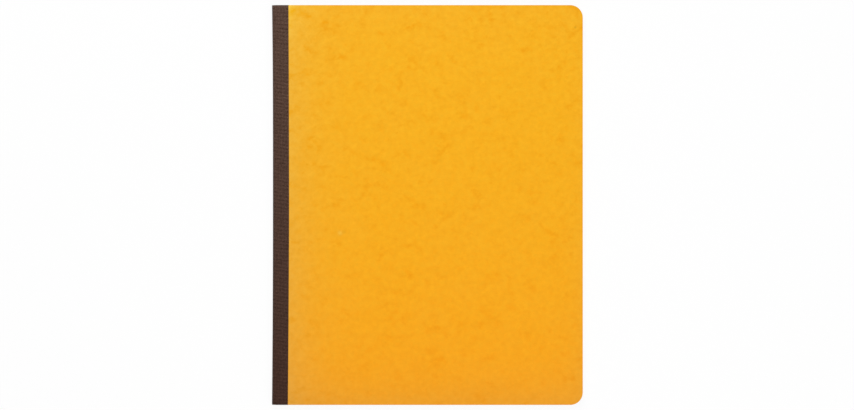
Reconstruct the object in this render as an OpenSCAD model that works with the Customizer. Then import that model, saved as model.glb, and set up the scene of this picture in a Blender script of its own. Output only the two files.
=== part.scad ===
// Register book: folded sheets sewn through the fold into one card cover with a cloth spine.
// The book lies closed with its front cover up: +X to the fore-edge, +Y to the head, +Z up.
// The origin is at the middle of its footprint, on the surface that it lies on.

/* [Book] */
// Width of the closed book, from the back of the spine to the fore-edge
book_w = 249; // [150:1:320]
// Height of the closed book, from tail to head
book_h = 320; // [200:1:420]
// Radius of the rounded corners at the fore-edge
corner_r = 10; // [1:0.5:25]

/* [Leaves] */
// Number of folded sheets, each of which makes two leaves
sheet_count = 20; // [4:1:24]
// Thickness of one leaf
leaf_t = 0.13; // [0.08:0.01:0.25]
// Air between neighbouring leaves
leaf_gap = 0.02; // [0.01:0.01:0.1]
// How far the leaves stay inside the edges of the covers
leaf_inset = 0.3; // [0:0.1:3]

/* [Cover] */
// Thickness of the cover card
card_t = 0.6; // [0.5:0.05:1.2]
// Air between the covers and the leaves
cover_gap = 0.04; // [0.02:0.01:0.3]
// Clearance between a turning edge and the fold beside it
hinge_gap = 0.2; // [0.16:0.02:0.6]

/* [Spine cloth] */
// Thickness of the cloth
cloth_t = 0.25; // [0.15:0.01:0.6]
// Depth to which the cloth is pressed into the card
cloth_bed = 0.1; // [0.04:0.01:0.14]
// Width of cloth on each cover, from the back of the spine
cloth_lap = 12.8; // [6:0.1:40]

/* [Sewing] */
// Thickness of the thread
thread_d = 0.3; // [0.2:0.02:0.36]
// Clearance round the thread in its needle holes and its groove
thread_clear = 0.04; // [0.02:0.01:0.06]
// How much of its thickness the thread keeps where it passes through the fold
thread_squeeze = 0.8; // [0.5:0.05:0.9]
// Length of a stitch
stitch_l = 12; // [6:0.5:40]
// Least distance from head and tail to a needle hole
stitch_margin = 16; // [5:1:60]

/* [Hidden] */
$fn = 96;

card_colour = "#F5AC22";
cloth_colour = "#4E392F";
paper_colour = "#F3EFE2";
thread_colour = "#E9E0CB";

// Radii and distances from the fold line, which is the hinge line of every leaf
leaf_count = 2 * sheet_count;
leaf_pitch = leaf_t + leaf_gap;
core_r = thread_d / 2 + thread_clear;
block_r = core_r + sheet_count * leaf_pitch - leaf_gap;
card_r = block_r + cover_gap;
bed_r = card_r + card_t - cloth_bed;
spine_r = bed_r + cloth_t;
fore_edge = book_w - spine_r;
cloth_edge = cloth_lap - spine_r;

// Place of the fold line
fold_x = spine_r - book_w / 2;
fold_z = spine_r;

// Sewing
leg_d = thread_squeeze * thread_d;
needle_w = leg_d + 2 * thread_clear;
groove_w = thread_d + 2 * thread_clear;
groove_depth = thread_d + thread_clear;
outer_run_r = bed_r - (thread_d + thread_clear) / 2;
stitch_count = floor((book_h - 2 * stitch_margin) / stitch_l);
sewn_l = stitch_count * stitch_l;
needle_ys = [for (k = [0 : stitch_count]) k * stitch_l - sewn_l / 2];

function leaf_name(i) = str("leaf_", i < 10 ? "0" : "", i);

// Distance of a leaf's nearer face from the fold line, for leaf i of its own half of the block
function leaf_r(i) = core_r + (i - 1) * leaf_pitch;

// Moves a shape drawn about the fold line to its place in the book
module at_fold() {
    translate([fold_x, 0, fold_z]) children();
}

// Turns a shape of the front half of the book over to the back half
module on_side(front) {
    mirror([0, 0, front ? 0 : 1]) children();
}

// Outline of a cover or a leaf, square at the fold line and rounded at the fore-edge
module page_outline(inset) {
    right = fore_edge - inset;
    top = book_h / 2 - inset;
    translate([hinge_gap, -top]) square([right - hinge_gap - corner_r, 2 * top]);
    translate([hinge_gap, corner_r - top]) square([right - hinge_gap, 2 * (top - corner_r)]);
    for (side = [-1, 1]) translate([right - corner_r, side * (top - corner_r)]) circle(corner_r);
}

// Half a tube round the fold line, open to the fore-edge
module half_tube(inner_r, outer_r, length) {
    rotate([90, 0, 0]) linear_extrude(length, center = true) difference() {
        circle(outer_r);
        circle(inner_r);
        translate([0, -2 * outer_r]) square([2 * outer_r, 4 * outer_r]);
    }
}

// A flat card with a shallow bed along the fold for the cloth
module cover_panel() {
    difference() {
        translate([0, 0, card_r]) linear_extrude(card_t) page_outline(0);
        translate([0, -book_h, bed_r]) cube([cloth_edge, 2 * book_h, 2 * cloth_bed]);
    }
}

// A flat strip of cloth in the bed of a cover panel
module cloth_strip() {
    translate([hinge_gap, -book_h / 2, bed_r]) cube([cloth_edge - hinge_gap, book_h, cloth_t]);
}

// The needle holes, through every fold
module needle_holes() {
    for (y = needle_ys) translate([-bed_r, y - needle_w / 2, -needle_w / 2]) cube([bed_r, needle_w, needle_w]);
}

// The groove that the thread lies in on the outside of the card
module thread_groove() {
    length = sewn_l + groove_w;
    translate([-2 * bed_r, -length / 2, -groove_w / 2]) cube([bed_r + groove_depth, length, groove_w]);
}

// A run of thread along the fold line, at a distance behind it
module thread_run(distance) {
    translate([-distance, 0, 0]) rotate([90, 0, 0]) cylinder(d = thread_d, h = sewn_l + thread_d, center = true);
}

module front_cover() {
    color(card_colour) at_fold() on_side(true) cover_panel();
}

module back_cover() {
    color(card_colour) at_fold() on_side(false) cover_panel();
}

module cover_spine_fold() {
    color(card_colour) at_fold() difference() {
        half_tube(card_r, bed_r, book_h);
        needle_holes();
        thread_groove();
    }
}

module spine_cloth_front() {
    color(cloth_colour) at_fold() on_side(true) cloth_strip();
}

module spine_cloth_back() {
    color(cloth_colour) at_fold() on_side(false) cloth_strip();
}

module spine_cloth_wrap() {
    color(cloth_colour) at_fold() half_tube(bed_r, spine_r, book_h);
}

module sheet_folds() {
    color(paper_colour) at_fold() difference() {
        for (i = [1 : sheet_count]) half_tube(leaf_r(i), leaf_r(i) + leaf_t, book_h - 2 * leaf_inset);
        needle_holes();
    }
}

module sewing_thread() {
    color(thread_colour) at_fold() {
        thread_run(0);
        thread_run(outer_run_r);
        for (y = needle_ys) translate([0, y, 0]) rotate([0, -90, 0]) cylinder(d = leg_d, h = outer_run_r);
    }
}

// Leaf i, counted from the front cover
module leaf(i) {
    front = i <= sheet_count;
    own = front ? sheet_count + 1 - i : i - sheet_count;
    color(paper_colour) at_fold() on_side(front) translate([0, 0, leaf_r(own)])
        linear_extrude(leaf_t) page_outline(leaf_inset);
}

front_cover();
cover_spine_fold();
back_cover();
spine_cloth_front();
spine_cloth_wrap();
spine_cloth_back();
sheet_folds();
sewing_thread();
for (i = [1 : leaf_count]) leaf(i);
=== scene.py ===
"""Looks of the register book: glazed card cover, ribbed cloth spine, ruled leaves and sewing thread."""

import math

import bmesh
import bpy
from bpy.props import FloatProperty, FloatVectorProperty, IntProperty, PointerProperty
from mathutils import Matrix, Vector


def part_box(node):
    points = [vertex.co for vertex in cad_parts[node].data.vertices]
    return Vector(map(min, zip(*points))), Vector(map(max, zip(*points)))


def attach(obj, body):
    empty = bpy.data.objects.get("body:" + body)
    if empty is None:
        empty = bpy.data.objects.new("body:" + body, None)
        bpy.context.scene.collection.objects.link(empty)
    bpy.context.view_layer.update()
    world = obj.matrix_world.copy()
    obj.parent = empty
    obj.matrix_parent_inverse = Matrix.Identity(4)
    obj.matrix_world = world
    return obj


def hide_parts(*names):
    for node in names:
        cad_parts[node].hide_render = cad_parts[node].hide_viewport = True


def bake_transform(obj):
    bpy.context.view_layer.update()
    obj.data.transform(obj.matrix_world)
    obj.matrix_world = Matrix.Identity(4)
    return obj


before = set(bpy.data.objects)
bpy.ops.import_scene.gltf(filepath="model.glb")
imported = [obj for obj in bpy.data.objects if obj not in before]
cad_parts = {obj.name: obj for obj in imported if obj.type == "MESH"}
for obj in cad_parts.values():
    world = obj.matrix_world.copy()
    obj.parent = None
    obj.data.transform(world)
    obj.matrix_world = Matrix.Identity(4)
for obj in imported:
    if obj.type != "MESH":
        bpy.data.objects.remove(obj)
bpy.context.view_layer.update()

bl_info = {
    "name": "Register book",
    "version": (1, 0, 0),
    "blender": (4, 5, 0),
    "location": "View3D > Sidebar > Book",
    "description": "Builds the cover, cloth spine, leaves and sewing of a register book",
    "category": "Add Mesh",
}

MM = 0.001
LEAVES = sorted(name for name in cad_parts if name.startswith("leaf_"))
SHEETS = len(LEAVES) // 2

# Places that the CAD parts give. The fold line is the hinge line of the leaves, and runs up the book.
wrap_low, wrap_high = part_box("spine_cloth_wrap")
panel_low, panel_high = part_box("front_cover")
strip_low, strip_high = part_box("spine_cloth_front")
thread_low, thread_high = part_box("sewing_thread")
first_low, first_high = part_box(LEAVES[0])
middle_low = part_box(LEAVES[SHEETS - 1])[0]
FOLD_X = wrap_high.x
FOLD_Z = (wrap_low.z + wrap_high.z) / 2
HALF = wrap_high.y
HEIGHT = 2 * HALF
FORE = panel_high.x
SPINE_R = wrap_high.z - FOLD_Z
CARD_T = panel_high.z - panel_low.z
CARD_R = panel_low.z - FOLD_Z
CLOTH_T = strip_high.z - strip_low.z
BED_R = SPINE_R - CLOTH_T
STRIP_W = strip_high.x - FOLD_X
WRAP_L = math.pi * SPINE_R
CLOTH_W = WRAP_L + 2 * STRIP_W
LEAF_T = first_high.z - first_low.z
LEAF_R = middle_low.z - FOLD_Z
LEAF_PITCH = (first_low.z - middle_low.z) / (SHEETS - 1)
LEAF_HALF = first_high.y
LEAF_START = first_low.x
THREAD_R = (thread_high.z - thread_low.z) / 2
SEWN_HALF = thread_high.y - THREAD_R

# How finely the meshes are cut
SPINE_STEPS = 24
CORNER_STEPS = 16
EDGE_STEPS = 2
CARD_ROWS = 32
SHEET_ROWS = 16
RIB_ROWS = 4
STRIP_COLUMNS = 3
CLOSING_STEPS = 8
STITCH_STEPS = 8
THREAD_SIDES = 8
WAVE_STEP = 9 * MM

# The least step between two faces, which keeps one from lying in the other
HAIR = 0.012 * MM
# Points closer than this are at the same place
TOUCHING = 0.0001 * MM
# How far the bend of the spine is spread, in radii of the bent piece
BEND_SPREAD = 1.5
# How far the rims of the card fold reach into the covers, and how far its inner wall opens out to them
RIM_REACH = 0.1 * MM
RIM_OPENING = 0.15 * MM
# How suddenly the sloping ribs of the cloth come square at head and tail
RIB_SQUARING = 8
# How the cut edge of the cloth falls away from mid height
CUT_POWER = 1.4
# Share of the room round the thread that the leaves close up
CLOSED_SHARE = 0.95
# Angles in degrees past which an edge stays crisp, on most pieces and on the thread
CREASE = 20
THREAD_CREASE = 60

# The sewing, in radii of the thread: depth of the outer run in the card, dip at a needle hole, and leg
OUTER_RUN = 1.2
NEEDLE_DIP = 0.6
LEG = 0.8
# How suddenly the runs dip at the needle holes
DIP_POWER = 6

# Ruling of a page in millimetres: uprights from the fold, and rules from the head line up
UPRIGHTS = (20, 21.2, 152, 176, 200, 224)
HEAD_RULES = (0, 1.2, 9)
HEAD_SPACE = 30 * MM
FOOT_SPACE = 14 * MM
BARE_EDGE = 4 * MM

# Places and size of the lamps, in metres
KEY_PLACE = (-0.25, 0.95, 1.35)
FILL_PLACE = (0.35, -1.0, 1.35)
LAMP_SIZE = (1.5, 1.0)


class BookShape(bpy.types.PropertyGroup):
    """Shapes of the cover, the cloth and the sewing"""

    corner_radius: FloatProperty(
        name="Corner radius",
        description="Rounding of the corners at the fore-edge",
        default=10 * MM,
        unit="LENGTH",
    )
    card_edge: FloatProperty(
        name="Card edge",
        description="Rounding of the cut edges of the card",
        default=0.1 * MM,
        unit="LENGTH",
    )
    card_wave: FloatProperty(
        name="Card wave",
        description="Height of the gentle waves in the front cover",
        default=0.1 * MM,
        unit="LENGTH",
    )
    bow_depth: FloatProperty(
        name="Spine bow",
        description="How far the spine draws in at mid height",
        default=0.76 * MM,
        unit="LENGTH",
    )
    bow_head: FloatProperty(
        name="Bow at head",
        description="How sharply the spine flares out to the head",
        default=3.5,
    )
    bow_tail: FloatProperty(
        name="Bow at tail",
        description="How sharply the spine flares out to the tail",
        default=1.9,
    )
    cloth_over: FloatProperty(
        name="Cloth overlap",
        description="How far the cloth laps past its bed at the tail",
        default=0.17 * MM,
        unit="LENGTH",
    )
    cloth_bow: FloatProperty(
        name="Cloth bow",
        description="How much further the cloth laps at mid height than at the tail",
        default=0.96 * MM,
        unit="LENGTH",
    )
    cloth_lean: FloatProperty(
        name="Cloth lean",
        description="Share of that bow that is lost at the head",
        default=0.49,
        subtype="FACTOR",
    )
    rib_pitch: FloatProperty(
        name="Rib pitch",
        description="Distance between the ribs of the cloth",
        default=0.745 * MM,
        unit="LENGTH",
    )
    rib_height: FloatProperty(
        name="Rib height",
        description="How far a rib of the cloth stands up",
        default=0.04 * MM,
        unit="LENGTH",
    )
    rib_slope: FloatProperty(
        name="Rib slope",
        description="How far the ribs run down for each length across the cloth",
        default=0.17,
    )
    closing: FloatProperty(
        name="Closing",
        description="Distance from the fold over which the leaves close up",
        default=14 * MM,
        unit="LENGTH",
    )
    stitches: IntProperty(
        name="Stitches",
        description="Number of stitches along the fold",
        default=24,
    )


class BookFinish(bpy.types.PropertyGroup):
    """Colours of the card, the cloth, the paper and the thread, with painted light and shade on the card and
    the cloth, the marks and the ruling
    """

    # Card at head and at tail: painted light falloff, lighter and yellower at the head, darker and more
    # orange at the tail
    card_lit_head: FloatVectorProperty(
        name="Card at head",
        description="Colour of the card at the head",
        default=(0.915, 0.45, 0.0125, 1),
        subtype="COLOR",
        size=4,
    )
    card_shaded_tail: FloatVectorProperty(
        name="Card at tail",
        description="Colour of the card at the tail",
        default=(0.935, 0.37, 0.0085, 1),
        subtype="COLOR",
        size=4,
    )
    # Tint of the painted reflection and painted shade beside the cloth, of the dulling towards the edges,
    # and of the dulled scuff
    card_dull_and_sheen: FloatVectorProperty(
        name="Dulled card",
        description="Colour of the card where handling has dulled it",
        default=(0.45, 0.42, 0.2, 1),
        subtype="COLOR",
        size=4,
    )
    # Darker brown of the painted shade beside the cloth, stronger towards the tail, and of the darkening
    # towards the fore-edge and the tail edge
    card_shade_and_edge_brown: FloatVectorProperty(
        name="Soiled card",
        description="Colour of the card where hands and shelves have soiled it",
        default=(0.45, 0.33, 0.085, 1),
        subtype="COLOR",
        size=4,
    )
    # Tint of the painted highlight beside the cloth at the head, and of the rubbed scuff
    card_pale_and_highlight: FloatVectorProperty(
        name="Rubbed card",
        description="Colour of the card where it is rubbed pale",
        default=(1.0, 0.72, 0.1, 1),
        subtype="COLOR",
        size=4,
    )
    card_fleck: FloatVectorProperty(
        name="Card flecks",
        description="Dye of the flecks in the card",
        default=(0.94, 0.77, 0.0, 1),
        subtype="COLOR",
        size=4,
    )
    scuff: FloatVectorProperty(
        name="Scuff",
        description="Place of a small scuff on the front cover, from the book's middle",
        default=(-69.7 * MM, -22.4 * MM),
        subtype="TRANSLATION",
        unit="LENGTH",
        size=2,
    )
    speck: FloatVectorProperty(
        name="Speck",
        description="Place of a small dark speck on the front cover, from the book's middle",
        default=(118.5 * MM, 142.1 * MM),
        subtype="TRANSLATION",
        unit="LENGTH",
        size=2,
    )
    # Cloth at head and at tail: painted light and painted sheen make it lighter at the head, and painted
    # shade makes it darker at the tail
    cloth_lit_head: FloatVectorProperty(
        name="Cloth at head",
        description="Colour of the cloth at the head",
        default=(0.085, 0.0455, 0.0305, 1),
        subtype="COLOR",
        size=4,
    )
    cloth_shaded_tail: FloatVectorProperty(
        name="Cloth at tail",
        description="Colour of the cloth at the tail",
        default=(0.044, 0.0176, 0.0104, 1),
        subtype="COLOR",
        size=4,
    )
    paper: FloatVectorProperty(
        name="Paper",
        description="Colour of the paper",
        default=(0.86, 0.83, 0.74, 1),
        subtype="COLOR",
        size=4,
    )
    feint: FloatVectorProperty(
        name="Feint lines",
        description="Colour of the lines to write on",
        default=(0.36, 0.46, 0.58, 1),
        subtype="COLOR",
        size=4,
    )
    margin: FloatVectorProperty(
        name="Column lines",
        description="Colour of the margin and column lines",
        default=(0.62, 0.25, 0.24, 1),
        subtype="COLOR",
        size=4,
    )
    thread: FloatVectorProperty(
        name="Thread",
        description="Colour of the sewing thread",
        default=(0.78, 0.71, 0.56, 1),
        subtype="COLOR",
        size=4,
    )
    line_pitch: FloatProperty(
        name="Line pitch",
        description="Distance between the lines to write on",
        default=8 * MM,
        unit="LENGTH",
    )
    line_width: FloatProperty(
        name="Line width",
        description="Thickness of a ruled line",
        default=0.28 * MM,
        unit="LENGTH",
    )


class BookStudio(bpy.types.PropertyGroup):
    """Camera, lights and floor"""

    lens: FloatProperty(
        name="Lens",
        description="Focal length in millimetres",
        default=100,
    )
    view_width: FloatProperty(
        name="View width",
        description="Width of the picture at the front cover",
        default=683.5 * MM,
        unit="LENGTH",
    )
    view_shift: FloatProperty(
        name="View shift",
        description="How far the picture's middle is left of the book's",
        default=0.18 * MM,
        unit="LENGTH",
    )
    key_power: FloatProperty(
        name="Key light",
        description="Power of the light at the head",
        default=16,
        unit="POWER",
    )
    fill_power: FloatProperty(
        name="Fill light",
        description="Power of the light at the tail",
        default=12.5,
        unit="POWER",
    )
    sky: FloatProperty(
        name="Sky",
        description="Strength of the light from all round",
        default=0.35,
    )
    room: FloatProperty(
        name="Room",
        description="Width of the floor between its low walls",
        default=16,
        unit="LENGTH",
    )
    floor_glow: FloatProperty(
        name="Floor white",
        description="Share of plain white in the floor as it is seen",
        default=0.88,
        subtype="FACTOR",
    )
    floor: FloatVectorProperty(
        name="Floor",
        description="Colour of the floor",
        default=(0.94, 0.94, 0.94, 1),
        subtype="COLOR",
        size=4,
    )


class Shade:
    """A socket in a material's nodes. Sums on it add Math nodes."""

    def __init__(self, socket):
        self.socket = socket

    def add(self, kind, settings, sockets, out=0):
        """Adds a node: first its settings, then the values or links of its sockets."""
        tree = self.socket.id_data
        node = tree.nodes.new(kind)
        for name, value in settings.items():
            setattr(node, name, value)
        for name, value in sockets.items():
            if isinstance(value, Shade):
                tree.links.new(value.socket, node.inputs[name])
            else:
                node.inputs[name].default_value = value
        return Shade(node.outputs[out])

    def out(self, name):
        """Another output of the same node."""
        return Shade(self.socket.node.outputs[name])

    def feed(self, node, name):
        """Links this value to a socket of a node that is there already."""
        self.socket.id_data.links.new(self.socket, node.inputs[name])

    def maths(self, operation, *others, clamp=False):
        """This value put through a Math node, with any others after it."""
        values = dict(enumerate((self, *others)))
        return self.add("ShaderNodeMath", {"operation": operation, "use_clamp": clamp}, values)

    def __add__(self, other):
        return self.maths("ADD", other)

    __radd__ = __add__

    def __sub__(self, other):
        return self.maths("SUBTRACT", other)

    def __rsub__(self, other):
        return self.add("ShaderNodeMath", {"operation": "SUBTRACT"}, {0: other, 1: self})

    def __mul__(self, other):
        return self.maths("MULTIPLY", other)

    __rmul__ = __mul__

    def __truediv__(self, other):
        return self.maths("DIVIDE", other)

    def __pow__(self, other):
        return self.maths("POWER", other)

    def __abs__(self):
        return self.maths("ABSOLUTE")


def start_material(name):
    """A new material, its surface shader, and Object coordinates to build on."""
    material = bpy.data.materials.new(name)
    material.use_nodes = True
    surface = material.node_tree.nodes["Principled BSDF"]
    place = Shade(surface.outputs[0]).add("ShaderNodeTexCoord", {}, {}, out="Object")
    return material, surface, place


def parts_of(vector):
    """The three numbers of a vector."""
    split = vector.add("ShaderNodeSeparateXYZ", {}, {0: vector}, out="X")
    return split, split.out("Y"), split.out("Z")


def join(x, y, z):
    """A vector from three numbers, the first of which is a socket."""
    return x.add("ShaderNodeCombineXYZ", {}, {0: x, 1: y, 2: z})


def scaled(vector, scale, plus):
    """A vector times another one, plus a third."""
    return vector.add("ShaderNodeVectorMath", {"operation": "MULTIPLY_ADD"}, {0: vector, 1: scale, 2: plus})


def clouds(place, size, detail=2.0, roughness=0.5):
    """Soft noise about 0.5, with blotches of about that size in metres."""
    sockets = {"Vector": place, "Scale": 1 / size, "Detail": detail, "Roughness": roughness}
    return place.add("ShaderNodeTexNoise", {}, sockets, out="Fac")


def wave(turns):
    """Swings between 0 and 1, and is 1 at each whole number of turns."""
    return 0.5 + 0.5 * (turns * math.tau).maths("COSINE")


def between(value, low, high):
    """0 where the value is low, 1 where it is high, and smooth between them."""
    sockets = {"Value": value, "From Min": low, "From Max": high}
    return value.add("ShaderNodeMapRange", {"interpolation_type": "SMOOTHSTEP"}, sockets)


def fading(distance, reach):
    """1 at no distance, falling away over the reach."""
    return (distance * (-1 / reach)).maths("EXPONENT")


def spot_at(x, y, spot_x, spot_y, reach):
    """1 at a place on the cover, falling away to 0 at that distance from it."""
    away = ((x - spot_x) ** 2.0 + (y - spot_y) ** 2.0) ** 0.5
    return 1 - between(away, 0.2 * reach, reach)


def tint(share, first, second):
    """The first colour where the share is 0, and the second where it is 1."""
    return share.add("ShaderNodeMix", {"data_type": "RGBA"}, {0: share, 6: first, 7: second}, out=2)


def dimmed(colour, share):
    """A colour times a number."""
    return share.add("ShaderNodeVectorMath", {"operation": "SCALE"}, {0: colour, "Scale": share})


def stained(colour, dye):
    """A colour with another one laid over it, as a dye is."""
    settings = {"data_type": "RGBA", "blend_type": "MULTIPLY"}
    return colour.add("ShaderNodeMix", settings, {0: 1.0, 6: colour, 7: dye}, out=2)


def relief(surface, height, depth, strength):
    """Bumps the surface by a height from 0 to 1 that stands for that depth in metres."""
    sockets = {"Height": height, "Distance": depth, "Strength": strength}
    height.add("ShaderNodeBump", {}, sockets, out="Normal").feed(surface, "Normal")


def card_finish(finish):
    """Glazed card of mottled pulp and fine fibres, with a painted reflection, painted shade and a painted
    highlight beside the cloth, painted light falloff from head to tail, and duller and darker towards the
    edges.
    """
    material, surface, place = start_material("glazed_card")
    x, y, z = parts_of(place)
    height = (y + HALF) * (1 / HEIGHT)
    low = (1 - height) ** 2.0
    # Painted light falloff: the colour runs from the lit head to the darker, more orange tail
    colour = tint(1 - low, tuple(finish.card_shaded_tail), tuple(finish.card_lit_head))

    # Beside the cloth: a painted reflection with painted shade, which pales and dulls the card, then painted
    # shade in a darker brown that grows towards the tail, and a painted highlight strongest at the head.
    # Towards the edges the card is duller and darker, and it is duller in random blotches
    beside = (x - (FOLD_X + STRIP_W)).maths("MAXIMUM", 0.0)
    by_cloth = fading(beside, 16 * MM)
    by_tail = fading(y + HALF, 14 * MM)
    by_head = fading(HALF - y, 14 * MM)
    by_fore = fading(FORE - x, 8 * MM)
    blotch = clouds(place, 26 * MM, 3.0) - 0.5
    # worn holds the painted reflection and painted shade beside the cloth, with duller edges and random
    # blotches; it also roughens the glaze
    worn = 0.14 * by_cloth + 0.05 * by_tail + 0.02 * by_head + 0.015 * by_fore + 0.02 * blotch
    worn = worn.maths("ADD", 0.0, clamp=True)
    colour = tint(worn, colour, tuple(finish.card_dull_and_sheen))
    # Painted shade beside the cloth, stronger towards the tail, and darker brown towards the fore-edge and
    # the tail edge
    painted_shade_and_edges = fading(beside, 24 * MM) * (0.03 + 0.11 * low) + by_fore * (0.01 + 0.09 * low) + 0.08 * by_tail
    colour = tint(painted_shade_and_edges, colour, tuple(finish.card_shade_and_edge_brown))
    # Painted highlight beside the cloth, strongest at the head
    painted_highlight = (0.6 * by_head * by_cloth + 0.05 * height) * by_cloth
    colour = tint(painted_highlight, colour, tuple(finish.card_pale_and_highlight))

    # Marks on the front cover: a scuff, painted shade of a dent beside it, and a speck
    front = between(z, FOLD_Z, FOLD_Z + MM)
    scuff_x, scuff_y = finish.scuff
    graze = front * spot_at(x, y, scuff_x, scuff_y, 3.6 * MM)
    rub = front * spot_at(x, y, scuff_x, scuff_y, 2.1 * MM)
    dent_shade = front * spot_at(x, y, scuff_x + 3.2 * MM, scuff_y + 0.8 * MM, 2.6 * MM)
    speck = front * spot_at(x, y, *finish.speck, 1.4 * MM)
    colour = tint(0.08 * graze, colour, tuple(finish.card_dull_and_sheen))
    colour = tint(0.28 * rub, colour, tuple(finish.card_pale_and_highlight))

    # Flecks: bent veins in patches, spots and mottled pulp, a little stronger to the head
    stray = clouds(place, 11 * MM).out("Color")
    bent_x, bent_y, bent_z = parts_of(scaled(stray, (12 * MM,) * 3, place))
    bent = join(bent_x * 0.7, bent_y, bent_z)
    vein = 1 - between(abs(clouds(bent, 22 * MM, 3.0) - 0.5), 0.0, 0.06)
    patch = between(clouds(join(x * 0.8 + 0.7, y, z), 12 * MM, 3.0), 0.5, 0.68)
    spot = between(clouds(bent, 6 * MM, 4.0, 0.6), 0.52, 0.78)
    pulp = clouds(place, 4.5 * MM, 4.0, 0.6)
    fleck = (0.4 * vein * patch + 0.52 * spot + 1.25 * pulp - 0.4) * (0.76 + 0.34 * height)
    fleck = fleck.maths("MAXIMUM", 0.0)
    colour = tint(fleck, colour, stained(colour, tuple(finish.card_fleck)))

    # Fine grain and fibres
    grain = clouds(join(x * 0.5, y, z), 0.5 * MM)
    fibre = clouds(join(x * 0.16, y + 0.3 * x, z), 0.32 * MM)
    mottle = clouds(place, 3 * MM)
    tone = 1 + 0.06 * (grain - 0.5) + 0.07 * (fibre - 0.5) + 0.1 * (mottle - 0.5)
    # Darker towards the tail edge, painted shade in the dent, and a dark speck
    tone = tone - 0.05 * by_tail - 0.09 * dent_shade - 0.18 * speck
    dimmed(colour, tone).feed(surface, "Base Color")
    polish = 0.36 + 0.12 * blotch + 0.16 * (pulp - 0.5) + 0.1 * worn
    polish.feed(surface, "Roughness")
    surface.inputs["Specular IOR Level"].default_value = 0.12
    relief(surface, grain * 0.5 + fibre * 0.5, 0.02 * MM, 0.5)
    return material


def cloth_finish(shape, finish):
    """Ribbed book cloth: thick threads across the spine, every fourth one darker, and finer ones up it."""
    material, surface, place = start_material("ribbed_cloth")
    weave = place.add("ShaderNodeUVMap", {"uv_map": "Weave"}, {})
    share, height, _ = parts_of(weave)
    across = share * HEIGHT
    up = height * HEIGHT
    flat = join(across, up, 0.0)
    # Painted light and sheen lighten the cloth at the head, and painted shade darkens it to the tail
    colour = tint(height, tuple(finish.cloth_shaded_tail), tuple(finish.cloth_lit_head))

    # The weave: ribs and their bands run across, and warp threads and their ends run up
    drift = clouds(join(across * 0.35, up, 0.0), 14 * MM) - 0.5
    ribs = up * (1 / shape.rib_pitch) + 1.2 * drift
    rib = wave(ribs)
    band = wave(ribs * 0.25)
    warp = wave(across * (1 / (0.42 * MM)))
    sway = clouds(join(across, up * 0.2, 0.0), 6 * MM) - 0.5
    ends = wave(across * (1 / (2.3 * MM)) + 0.8 * sway)

    # Uneven threads, fluff and wear
    slub = clouds(join(across * 0.25, up, 0.0), 1.1 * MM) - 0.5
    knots = clouds(flat, 1.1 * MM, 3.0, 0.7) - 0.5
    fluff = clouds(flat, 0.25 * MM) - 0.5
    worn = clouds(flat, 9 * MM, 3.0) - 0.5
    change = 0.315 * band ** 0.6 - 0.18 + 0.12 * (ends - 0.5) + 0.22 * (rib - 0.5) + 0.08 * (warp - 0.5)
    change = change + 0.8 * slub + 0.6 * fluff + 2.5 * knots + 0.3 * worn
    gain = scaled(change, (1.0, 1.2, 1.42), (1.0, 1.0, 1.0))
    stained(colour, gain).feed(surface, "Base Color")
    nap = 0.72 + 0.2 * fluff - 0.1 * worn
    nap.feed(surface, "Roughness")
    surface.inputs["Specular IOR Level"].default_value = 0.15
    surface.inputs["Sheen Weight"].default_value = 0.03
    surface.inputs["Sheen Roughness"].default_value = 0.5
    relief(surface, 0.5 * rib + 0.3 * warp * rib + 0.2 * fluff, 0.06 * MM, 0.8)
    return material


def paper_finish(finish):
    """Ruled writing paper: feint lines, a margin, columns at the fore-edge, and streaks on the cut edges."""
    material, surface, place = start_material("ruled_paper")
    x, y, z = parts_of(place)
    _, _, facing = parts_of(place.out("Normal"))
    face = between(abs(facing), 0.4, 0.6)
    head_line = HALF - HEAD_SPACE
    foot_line = FOOT_SPACE - HALF
    top_rule = HEAD_RULES[-1] * MM
    out = x - FOLD_X
    down = head_line - y
    on_page = between(y, foot_line - MM, foot_line)

    def ruled(distance):
        """1 on a line, and 0 beside it."""
        return 1 - between(abs(distance), 0.35 * finish.line_width, 0.65 * finish.line_width)

    # Feint lines run across, and uprights make the margin and the columns
    from_line = (down / finish.line_pitch + 0.5).maths("FRACT") - 0.5
    feint = ruled(from_line * finish.line_pitch) * between(down, 3 * MM, 4 * MM) * on_page
    columns = ruled(out - UPRIGHTS[0] * MM)
    for upright in UPRIGHTS[1:]:
        columns = columns.maths("MAXIMUM", ruled(out - upright * MM))
    columns = columns * between(down, -top_rule, 0.4 * MM - top_rule) * on_page
    for rise in HEAD_RULES:
        columns = columns.maths("MAXIMUM", ruled(y - (head_line + rise * MM)))
    edge = (BARE_EDGE, BARE_EDGE + 0.4 * MM)
    inside = face * between(out, *edge) * between(FORE - x, *edge)
    colour = tint(feint * inside * 0.75, tuple(finish.paper), tuple(finish.feint))
    colour = tint(columns * inside * 0.8, colour, tuple(finish.margin))

    # Pulp and fibres, and streaks where the sheets are cut
    pulp = clouds(place, 3 * MM, 4.0, 0.6) - 0.5
    fibre = clouds(join(x * 0.3, y, z), 0.3 * MM) - 0.5
    streak = clouds(join(x * 0.04, y * 0.04, z * 6), 1.0 * MM, 3.0, 0.7) - 0.5
    tone = 1 + 0.03 * pulp + 0.04 * fibre + (1 - face) * (0.3 * streak - 0.03)
    dimmed(colour, tone).feed(surface, "Base Color")
    matt = 0.86 + 0.15 * pulp
    matt.feed(surface, "Roughness")
    surface.inputs["Specular IOR Level"].default_value = 0.3
    relief(surface, fibre, 0.02 * MM, 0.6)
    return material


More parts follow.
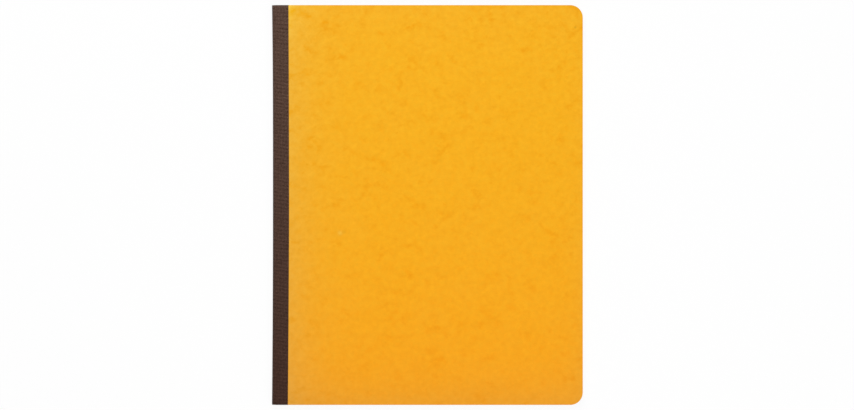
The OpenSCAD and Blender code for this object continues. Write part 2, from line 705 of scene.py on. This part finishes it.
def thread_finish(finish):
    """Waxed thread of two twisted strands."""
    material, surface, place = start_material("waxed_thread")
    x, y, z = parts_of(place)
    around = (z - FOLD_Z).maths("ARCTAN2", x - FOLD_X)
    strand = wave(y * (1 / (0.9 * MM)) + around * (2 / math.tau))
    fluff = clouds(place, 0.2 * MM) - 0.5
    dimmed(tuple(finish.thread)[:3], 0.78 + 0.28 * strand + 0.2 * fluff).feed(surface, "Base Color")
    wax = 0.5 + 0.2 * fluff
    wax.feed(surface, "Roughness")
    relief(surface, strand, 0.06 * MM, 0.8)
    return material


def verts_in(geometry):
    """The vertices in what an operator gives back."""
    return [item for item in geometry if isinstance(item, bmesh.types.BMVert)]


def flat_sheet(bm, low_x, high_x, half, z, columns, rows):
    """A flat grid between two places across the book, over the height of the book."""
    verts = bmesh.ops.create_grid(bm, x_segments=columns, y_segments=rows, size=0.5)["verts"]
    bmesh.ops.scale(bm, vec=(high_x - low_x, 2 * half, 1), verts=verts)
    bmesh.ops.translate(bm, vec=((low_x + high_x) / 2, 0, z), verts=verts)


def page_plate(low, high, radius):
    """A flat plate between two corners, square at the fold and rounded at the fore-edge."""
    bm = bmesh.new()
    flat_sheet(bm, low.x, high.x, high.y, low.z, 1, 1)
    bmesh.ops.bevel(
        bm,
        geom=[vert for vert in bm.verts if vert.co.x > 0],
        offset=radius,
        offset_type="OFFSET",
        segments=CORNER_STEPS,
        profile=0.5,
        affect="VERTICES",
        material=-1,
    )
    grown = bmesh.ops.extrude_face_region(bm, geom=bm.faces[:])["geom"]
    bmesh.ops.translate(bm, vec=(0, 0, high.z - low.z), verts=verts_in(grown))
    bmesh.ops.recalc_face_normals(bm, faces=bm.faces[:])
    return bm


def half_tube(radius, half, rows, reach=0.0):
    """Half a tube round the fold line, which may reach a little way along both halves of the book."""
    bm = bmesh.new()
    ends = [bm.verts.new((FOLD_X, side * half, FOLD_Z - radius)) for side in (-1, 1)]
    bmesh.ops.subdivide_edges(bm, edges=[bm.edges.new(ends)], cuts=rows - 1)
    bmesh.ops.spin(
        bm,
        geom=bm.verts[:] + bm.edges[:],
        cent=(FOLD_X, 0, FOLD_Z),
        axis=(0, 1, 0),
        dvec=(0, 0, 0),
        angle=math.pi,
        steps=SPINE_STEPS,
        use_merge=False,
        use_duplicate=False,
    )
    if reach:
        rims = [edge for edge in bm.edges if all(abs(vert.co.x - FOLD_X) < TOUCHING for vert in edge.verts)]
        grown = bmesh.ops.extrude_edge_only(bm, edges=rims)["geom"]
        bmesh.ops.translate(bm, vec=(reach, 0, 0), verts=verts_in(grown))
    bmesh.ops.recalc_face_normals(bm, faces=bm.faces[:])
    if min(bm.faces, key=lambda face: face.calc_center_median().x).normal.x > 0:
        bmesh.ops.reverse_faces(bm, faces=bm.faces[:])
    return bm


def cut_at(bm, way, places):
    """Cuts a mesh across the X (0) or Y (1) axis at several places."""
    for place in places:
        point = Vector()
        point[way] = place
        normal = Vector()
        normal[way] = 1
        bmesh.ops.bisect_plane(
            bm,
            geom=bm.verts[:] + bm.edges[:] + bm.faces[:],
            dist=TOUCHING,
            plane_co=point,
            plane_no=normal,
        )


def spine_bow(y, shape):
    """How far the spine draws in at that height: most at the middle and nothing at head and tail."""
    power = shape.bow_head if y > 0 else shape.bow_tail
    return shape.bow_depth * (1 - min(1.0, abs(y) / HALF) ** power)


def draw_in(bm, shape):
    """Moves what lies behind the fold line by its share of the spine's bow."""
    for vert in bm.verts:
        behind = (FOLD_X - vert.co.x) / SPINE_R
        if behind > 0:
            vert.co.x += behind * spine_bow(vert.co.y, shape)


def tuck(bm, half):
    """Tucks a bent piece in by a hair, more to the front, so that it can lie flat on itself."""
    for vert in bm.verts:
        out = Vector((min(0.0, vert.co.x - FOLD_X), 0, vert.co.z - FOLD_Z))
        front = 1 - math.atan2(-out.x, out.z) / math.pi
        vert.co -= HAIR * front * out.normalized()
        if abs(vert.co.y) > half - HAIR / 2:
            vert.co.y -= math.copysign(HAIR * (1 + 2 * front), vert.co.y)


def finished(bm, name, material, nodes, crease=CREASE):
    """Makes a piece of a mesh, in place of CAD nodes. Its faces are smooth up to an angle in degrees."""
    for face in bm.faces:
        face.smooth = True
    for edge in bm.edges:
        edge.smooth = edge.calc_face_angle(0.0) < math.radians(crease)
    mesh = bpy.data.meshes.new(name)
    bm.to_mesh(mesh)
    bm.free()
    mesh.materials.append(material)
    piece = bpy.data.objects.new(name, mesh)
    bpy.context.scene.collection.objects.link(piece)
    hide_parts(*nodes)
    return piece


def bend_with_book(piece, radius):
    """Bakes the place of a piece into its mesh."""
    rise = Vector((0, 0, BEND_SPREAD * radius))
    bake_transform(piece)


def card_panel(shape, inner_z, waves):
    """A cover panel with softened cut edges, and with gentle waves where they are asked for."""
    low = Vector((FOLD_X, -HALF, inner_z))
    high = Vector((FORE, HALF, inner_z + CARD_T))
    bm = page_plate(low, high, shape.corner_radius)
    rims = [edge for edge in bm.edges if abs(edge.verts[0].co.z - edge.verts[1].co.z) < TOUCHING]
    bmesh.ops.bevel(
        bm,
        geom=rims,
        offset=shape.card_edge,
        offset_type="OFFSET",
        segments=EDGE_STEPS,
        profile=0.5,
        affect="EDGES",
        material=-1,
    )
    if waves:
        columns = range(1, int((FORE - FOLD_X) / WAVE_STEP))
        rows = range(1, int(HEIGHT / WAVE_STEP))
        cut_at(bm, 0, [FOLD_X + number * WAVE_STEP for number in columns])
        cut_at(bm, 1, [number * WAVE_STEP - HALF for number in rows])
        for vert in bm.verts:
            along = vert.co.x / FORE
            up = vert.co.y / HALF
            swell = math.sin(2.3 * along + 1.4 * up + 0.4)
            swell += 0.6 * math.sin(4.1 * up - 1.7 * along)
            swell += 0.4 * math.sin(5.3 * along)
            vert.co.z += shape.card_wave * (0.5 + 0.25 * swell)
    return bm


def rib_rise(y, shape):
    """How far the cloth's ribs stand up at that height on the spine."""
    return shape.rib_height * 0.5 * (1 + math.cos(math.tau * y / shape.rib_pitch))


def cloth_strip(shape, rows, side):
    """The cloth on the front cover (side 1) or on the back cover (side -1)."""
    bm = bmesh.new()
    flat_sheet(bm, FOLD_X, FOLD_X + STRIP_W, HALF, FOLD_Z, STRIP_COLUMNS, rows)
    for vert in bm.verts:
        vert.co.z += side * (SPINE_R - shape.rib_height + rib_rise(vert.co.y, shape))
    if side < 0:
        bmesh.ops.reverse_faces(bm, faces=bm.faces[:])
    bmesh.ops.solidify(bm, geom=bm.faces[:], thickness=CLOTH_T - shape.rib_height)
    return bm


def lay_weave(bm, across, shape):
    """Gives the cloth a map across it and up it, in shares of the book's height, and slopes its ribs."""
    layer = bm.loops.layers.uv.new("Weave")
    for face in bm.faces:
        for loop in face.loops:
            loop[layer].uv = (across(loop.vert.co) / HEIGHT, loop.vert.co.y / HEIGHT + 0.5)
    for vert in bm.verts:
        share = 1 - min(1.0, abs(vert.co.y) / HALF) ** RIB_SQUARING
        vert.co.y -= shape.rib_slope * (across(vert.co) - CLOTH_W / 2) * share


def slant(bm, shape):
    """Moves the free edge of the cloth to where it was cut: furthest at mid height, least at the tail."""
    for vert in bm.verts:
        share = (vert.co.x - FOLD_X) / STRIP_W
        if share > 0:
            lost = shape.cloth_lean if vert.co.y > 0 else 1.0
            bow = 1 - lost * min(1.0, abs(vert.co.y) / HALF) ** CUT_POWER
            vert.co.x += share * (shape.cloth_over + shape.cloth_bow * bow)


def thread_along(bm, points, radius):
    """A thread through points: a ring that is drawn out from each point to the next."""
    ring = bmesh.ops.create_circle(bm, cap_ends=True, segments=THREAD_SIDES, radius=radius)["verts"]
    first = (Vector(points[1]) - Vector(points[0])).normalized()
    turn = Vector((0, 0, 1)).rotation_difference(first).to_matrix().to_4x4()
    bmesh.ops.transform(bm, matrix=Matrix.Translation(points[0]) @ turn, verts=ring)
    rim = list({edge for vert in ring for edge in vert.link_edges})
    for start, end in zip(points, points[1:]):
        grown = bmesh.ops.extrude_edge_only(bm, edges=rim)["geom"]
        bmesh.ops.translate(bm, vec=Vector(end) - Vector(start), verts=verts_in(grown))
        edges = [item for item in grown if isinstance(item, bmesh.types.BMEdge)]
        rim = [edge for edge in edges if len(edge.link_faces) == 1]
    bmesh.ops.edgeloop_fill(bm, edges=rim)


class BOOK_OT_cover_panels(bpy.types.Operator):
    """Makes the front and back panels of the card cover"""

    bl_idname = "book.cover_panels"
    bl_label = "Cover panels"

    def execute(self, context):
        shape = context.scene.book_shape
        card = card_finish(context.scene.book_finish)
        front = card_panel(shape, FOLD_Z + CARD_R, True)
        front = finished(front, "cover_front_panel", card, ["front_cover"])
        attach(front, "front_cover")
        back = card_panel(shape, FOLD_Z - CARD_R - CARD_T, False)
        back = finished(back, "cover_back_panel", card, ["back_cover"])
        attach(back, "back_cover")
        return {"FINISHED"}


class BOOK_OT_cover_fold(bpy.types.Operator):
    """Makes the part of the card that is bent round the spine"""

    bl_idname = "book.cover_fold"
    bl_label = "Cover fold"

    def execute(self, context):
        card = bpy.data.materials["glazed_card"]
        bm = half_tube(BED_R, HALF, CARD_ROWS, reach=RIM_REACH)
        bmesh.ops.solidify(bm, geom=bm.faces[:], thickness=BED_R - CARD_R)
        middle_r = (BED_R + CARD_R) / 2
        inside = [vert for vert in bm.verts if math.hypot(vert.co.x - FOLD_X, vert.co.z - FOLD_Z) < middle_r]
        rim_r = CARD_R + RIM_OPENING
        about_fold = Matrix.Translation((0, 0, -FOLD_Z))
        bmesh.ops.scale(bm, vec=(1, 1, rim_r / CARD_R), space=about_fold, verts=inside)
        tuck(bm, HALF)
        draw_in(bm, context.scene.book_shape)
        piece = finished(bm, "cover_fold", card, ["cover_spine_fold"])
        bend_with_book(piece, rim_r)
        return {"FINISHED"}


class BOOK_OT_spine_cloth(bpy.types.Operator):
    """Makes the ribbed cloth strip over the spine and the edges of both covers"""

    bl_idname = "book.spine_cloth"
    bl_label = "Spine cloth"

    def execute(self, context):
        shape = context.scene.book_shape
        cloth = cloth_finish(shape, context.scene.book_finish)
        rows = RIB_ROWS * round(HEIGHT / shape.rib_pitch)
        bm = half_tube(SPINE_R - shape.rib_height, HALF, rows)
        for vert in bm.verts:
            out = Vector((vert.co.x - FOLD_X, 0, vert.co.z - FOLD_Z)).normalized()
            vert.co += rib_rise(vert.co.y, shape) * out
        bmesh.ops.solidify(bm, geom=bm.faces[:], thickness=CLOTH_T - shape.rib_height)
        lay_weave(bm, lambda co: STRIP_W + SPINE_R * math.atan2(FOLD_X - co.x, FOLD_Z - co.z), shape)
        tuck(bm, HALF)
        draw_in(bm, shape)
        wrap = finished(bm, "spine_cloth_round", cloth, ["spine_cloth_wrap"])
        bend_with_book(wrap, SPINE_R)

        front = cloth_strip(shape, rows, 1)
        lay_weave(front, lambda co: STRIP_W + WRAP_L + co.x - FOLD_X, shape)
        slant(front, shape)
        front = finished(front, "spine_cloth_front_strip", cloth, ["spine_cloth_front"])
        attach(front, "front_cover")
        back = cloth_strip(shape, rows, -1)
        lay_weave(back, lambda co: STRIP_W - (co.x - FOLD_X), shape)
        slant(back, shape)
        back = finished(back, "spine_cloth_back_strip", cloth, ["spine_cloth_back"])
        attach(back, "back_cover")
        return {"FINISHED"}


class BOOK_OT_sheet_folds(bpy.types.Operator):
    """Makes the folded backs of the sheets, one inside the other"""

    bl_idname = "book.sheet_folds"
    bl_label = "Sheet folds"

    def execute(self, context):
        paper = paper_finish(context.scene.book_finish)
        for number in range(SHEETS):
            outer = LEAF_R + number * LEAF_PITCH + LEAF_T
            bm = half_tube(outer, LEAF_HALF, SHEET_ROWS, reach=LEAF_START - FOLD_X)
            bmesh.ops.solidify(bm, geom=bm.faces[:], thickness=LEAF_T)
            tuck(bm, LEAF_HALF)
            draw_in(bm, context.scene.book_shape)
            piece = finished(bm, f"sheet_fold_{number + 1:02d}", paper, ["sheet_folds"])
            bend_with_book(piece, outer)
        return {"FINISHED"}


class BOOK_OT_leaves(bpy.types.Operator):
    """Makes the ruled leaves, which part round the thread at the fold and close up beyond it"""

    bl_idname = "book.leaves"
    bl_label = "Leaves"

    def execute(self, context):
        shape = context.scene.book_shape
        paper = bpy.data.materials["ruled_paper"]
        for number, name in enumerate(LEAVES):
            low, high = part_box(name)
            front = number < SHEETS
            inward = SHEETS - number if front else number + 1 - SHEETS
            room = -LEAF_R if front else LEAF_R
            bm = page_plate(low, high, shape.corner_radius)
            steps = range(1, CLOSING_STEPS + 1)
            cut_at(bm, 0, [low.x + step * shape.closing / CLOSING_STEPS for step in steps])
            for vert in bm.verts:
                share = min(1.0, (vert.co.x - low.x) / shape.closing)
                share = share * share * (3 - 2 * share) * (1 - (inward - 1) / SHEETS)
                vert.co.z += room * CLOSED_SHARE * share
            piece = finished(bm, f"page_{number + 1:02d}", paper, [name])
            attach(piece, name)
        return {"FINISHED"}


class BOOK_OT_stitching(bpy.types.Operator):
    """Makes the thread that sews the sheets and the cover together through the fold"""

    bl_idname = "book.stitching"
    bl_label = "Stitching"

    def execute(self, context):
        shape = context.scene.book_shape
        waxed = thread_finish(context.scene.book_finish)
        bm = bmesh.new()
        steps = STITCH_STEPS * shape.stitches
        outer_x = FOLD_X - BED_R + OUTER_RUN * THREAD_R
        inner = []
        outer = []
        for number in range(steps + 1):
            y = SEWN_HALF * (2 * number / steps - 1)
            # Both runs dip towards each other at the needle holes
            near_hole = abs(math.cos(math.pi * shape.stitches * number / steps)) ** DIP_POWER
            dip = NEEDLE_DIP * THREAD_R * near_hole
            inner.append((FOLD_X - dip, y, FOLD_Z))
            outer.append((outer_x + dip, y, FOLD_Z))
        thread_along(bm, inner, THREAD_R)
        thread_along(bm, outer, THREAD_R)
        for number in range(shape.stitches + 1):
            y = SEWN_HALF * (2 * number / shape.stitches - 1)
            thread_along(bm, [(FOLD_X, y, FOLD_Z), (outer_x, y, FOLD_Z)], LEG * THREAD_R)
        bmesh.ops.recalc_face_normals(bm, faces=bm.faces[:])
        draw_in(bm, shape)
        piece = finished(bm, "stitching", waxed, ["sewing_thread"], THREAD_CREASE)
        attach(piece, "spine")
        return {"FINISHED"}


def floor_finish(studio):
    """A floor that is seen as almost plain white, and keeps the book's shadow."""
    material = bpy.data.materials.new("studio_floor")
    material.use_nodes = True
    nodes = material.node_tree.nodes
    nodes.clear()
    end = nodes.new("ShaderNodeOutputMaterial")
    ray = Shade(nodes.new("ShaderNodeLightPath").outputs["Is Camera Ray"])
    seen = ray.maths("MAXIMUM", ray.out("Is Glossy Ray")).maths("MAXIMUM", ray.out("Is Transmission Ray"))
    matt = ray.add("ShaderNodeBsdfDiffuse", {}, {"Color": tuple(studio.floor)})
    white = ray.add("ShaderNodeEmission", {}, {"Strength": 1.0})
    both = ray.add("ShaderNodeMixShader", {}, {0: seen * studio.floor_glow, 1: matt, 2: white})
    both.feed(end, "Surface")
    return material


def lay_floor(scene, studio):
    """A wide floor between walls a sixth as high as it is wide."""
    bm = bmesh.new()
    bmesh.ops.create_grid(bm, x_segments=2, y_segments=2, size=studio.room / 2)
    rim = [edge for edge in bm.edges if len(edge.link_faces) == 1]
    walls = bmesh.ops.extrude_edge_only(bm, edges=rim)["geom"]
    bmesh.ops.translate(bm, vec=(0, 0, studio.room / 6), verts=verts_in(walls))
    bmesh.ops.recalc_face_normals(bm, faces=bm.faces[:])
    mesh = bpy.data.meshes.new("studio_floor")
    bm.to_mesh(mesh)
    bm.free()
    mesh.materials.append(floor_finish(studio))
    floor = bpy.data.objects.new("studio_floor", mesh)
    scene.collection.objects.link(floor)


def hang_sky(scene, studio):
    """Even light from all round."""
    world = bpy.data.worlds.new("studio_sky")
    world.use_nodes = True
    sky = world.node_tree.nodes["Background"]
    sky.inputs["Color"].default_value = (1, 1, 1, 1)
    sky.inputs["Strength"].default_value = studio.sky
    scene.world = world


def soft_light(scene, name, place, power):
    """A large lamp that faces the middle of the book."""
    lamp = bpy.data.lights.new(name, "AREA")
    lamp.shape = "RECTANGLE"
    lamp.size, lamp.size_y = LAMP_SIZE
    lamp.energy = power
    holder = bpy.data.objects.new(name, lamp)
    holder.location = place
    holder.rotation_mode = "QUATERNION"
    holder.rotation_quaternion = (-Vector(place)).to_track_quat("-Z", "Y")
    scene.collection.objects.link(holder)


def set_camera(scene, studio):
    """A camera that looks straight down on the front cover."""
    view = bpy.data.cameras.new("camera")
    view.lens = studio.lens
    camera = bpy.data.objects.new("camera", view)
    distance = studio.view_width * view.lens / view.sensor_width
    camera.location = (-studio.view_shift, 0, panel_high.z + distance)
    scene.collection.objects.link(camera)
    scene.camera = camera


class BOOK_OT_studio(bpy.types.Operator):
    """Makes the floor, the lights and the camera straight above the book"""

    bl_idname = "book.studio"
    bl_label = "Studio"

    def execute(self, context):
        scene = context.scene
        studio = scene.book_studio
        lay_floor(scene, studio)
        hang_sky(scene, studio)
        soft_light(scene, "key_light", KEY_PLACE, studio.key_power)
        soft_light(scene, "fill_light", FILL_PLACE, studio.fill_power)
        set_camera(scene, studio)
        scene.view_settings.view_transform = "Standard"
        return {"FINISHED"}


class BOOK_PT_sidebar(bpy.types.Panel):
    """Lists what the book is made of"""

    bl_idname = "BOOK_PT_sidebar"
    bl_label = "Register book"
    bl_space_type = "VIEW_3D"
    bl_region_type = "UI"
    bl_category = "Book"

    def draw(self, context):
        for operator in OPERATORS:
            self.layout.operator(operator.bl_idname)
        for group in (context.scene.book_shape, context.scene.book_finish, context.scene.book_studio):
            box = self.layout.box()
            for name in type(group).__annotations__:
                box.prop(group, name)


OPERATORS = (
    BOOK_OT_cover_panels,
    BOOK_OT_cover_fold,
    BOOK_OT_spine_cloth,
    BOOK_OT_sheet_folds,
    BOOK_OT_leaves,
    BOOK_OT_stitching,
    BOOK_OT_studio,
)
CLASSES = (BookShape, BookFinish, BookStudio, *OPERATORS, BOOK_PT_sidebar)


def register():
    for one in CLASSES:
        bpy.utils.register_class(one)
    bpy.types.Scene.book_shape = PointerProperty(type=BookShape)
    bpy.types.Scene.book_finish = PointerProperty(type=BookFinish)
    bpy.types.Scene.book_studio = PointerProperty(type=BookStudio)


def unregister():
    del bpy.types.Scene.book_studio
    del bpy.types.Scene.book_finish
    del bpy.types.Scene.book_shape
    for one in reversed(CLASSES):
        bpy.utils.unregister_class(one)


def main():
    """Builds the book and its studio."""
    register()
    bpy.ops.book.cover_panels()
    bpy.ops.book.cover_fold()
    bpy.ops.book.spine_cloth()
    bpy.ops.book.sheet_folds()
    bpy.ops.book.leaves()
    bpy.ops.book.stitching()
    bpy.ops.book.studio()


if __name__ == "__main__":
    main()
